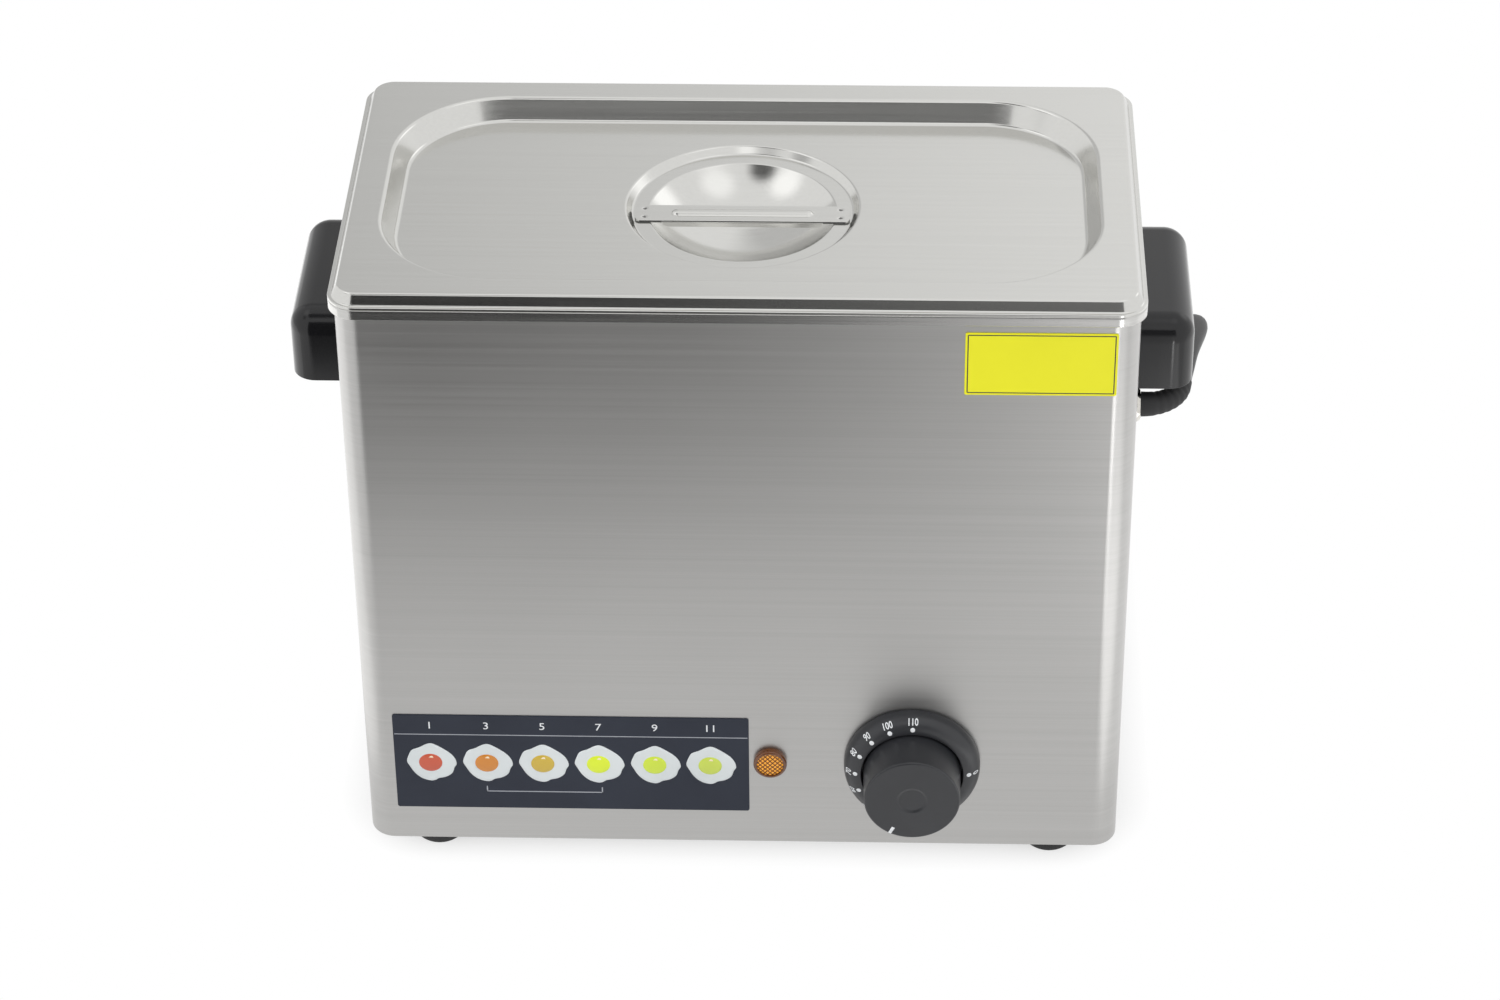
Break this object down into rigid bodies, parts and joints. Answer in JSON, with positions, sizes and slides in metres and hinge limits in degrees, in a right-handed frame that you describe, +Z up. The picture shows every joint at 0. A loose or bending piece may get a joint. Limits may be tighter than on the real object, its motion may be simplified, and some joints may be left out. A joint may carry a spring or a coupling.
{
  "type": "commercial egg boiler",
  "caption": "Worktop egg boiler: a stainless casing and tank with a lift-off lid, egg basket, heating element, side handles, thermostat dial and mains lead.",
  "frame": {"origin": "on the surface that the feet stand on, under the middle of the object without its mains lead", "axes": "+X to the right across the front, +Y from the front to the back, +Z up"},
  "size_m": [0.3819, 0.3371, 0.2874],
  "materials": {
    "casing_steel": "horizontal brushed grain",
    "tank_steel": "satin",
    "lid_steel": "fine satin",
    "plain_steel": "plain",
    "zinc_steel": "zinc plated",
    "element_steel": "drawn tube",
    "rubber_black": "matt",
    "gasket_rubber": "matt silicone",
    "gloss_black": "glossy moulded",
    "knob_black": "satin moulded",
    "lens_amber": "prismatic",
    "white_plastic": "matt",
    "beige_plastic": "matt",
    "dark_plastic": "matt",
    "brass": "turned",
    "nickel": "nickel plated",
    "copper": "drawn tube",
    "wire_brown": "insulated cores",
    "cord_black": "smooth rubber",
    "chart_grey": "printed, matt",
    "tag_yellow": "printed, matt"
  },
  "bodies": {
    "boiler": {"casing": "casing_steel", "base_plate": "plain_steel", "base_screws": "zinc_steel", "foot_front_left": "rubber_black", "foot_front_right": "rubber_black", "foot_back_left": "rubber_black", "foot_back_right": "rubber_black", "foot_screws": "zinc_steel", "foot_nuts": "zinc_steel", "tank": "tank_steel", "handle_left": "gloss_black", "handle_right": "gloss_black", "handle_screws": "zinc_steel", "dial_ring": "knob_black", "dial_screws": "zinc_steel", "thermostat": "beige_plastic", "sensor_bulb": "copper", "sensor_clips": "zinc_steel", "capillary": "copper", "capillary_gland": "brass", "capillary_nut": "brass", "pilot_lens": "lens_amber", "pilot_body": "white_plastic", "pilot_nut": "dark_plastic", "heating_element": "element_steel", "element_bushes": "brass", "element_gaskets": "gasket_rubber", "element_nuts": "brass", "safety_cutout": "dark_plastic", "cutout_bracket": "zinc_steel", "terminal_block": "white_plastic", "terminal_screws": "brass", "earth_stud": "brass", "earth_nut": "zinc_steel", "supply_wires": "wire_brown", "cord_gland": "nickel", "gland_nut": "nickel", "cord_boot": "cord_black", "mains_lead": "cord_black", "lead_coil": "cord_black", "lead_tail": "cord_black", "plug_body": "cord_black", "plug_pins": "nickel", "time_chart": "chart_grey", "write_on_plate": "tag_yellow"},
    "lid": {"lid": "lid_steel", "lid_strap": "lid_steel"},
    "basket": {"basket_floor": "plain_steel", "basket_walls": "plain_steel", "basket_corners": "plain_steel", "basket_legs": "plain_steel", "basket_frame": "plain_steel"},
    "knob": {"knob": "knob_black", "thermostat_spindle": "brass"}
  },
  "joints": [
    {"name": "lid_lift", "type": "slide", "parent": "boiler", "child": "lid", "axis": [0, 0, 1], "range_m": [0, 0.3]},
    {"name": "basket_lift", "type": "slide", "parent": "boiler", "child": "basket", "axis": [0, 0, 1], "range_m": [0, 0.2]},
    {"name": "knob_turn", "type": "hinge", "parent": "boiler", "child": "knob", "pos_m": [0.0723, -0.08685, 0.0555], "axis": [0, 1, 0], "range_deg": [-118, 152]}
  ],
  "couplings": [
    {"joint": "basket_lift", "follows": "lid_lift", "ratio": 0.6666}
  ]
}
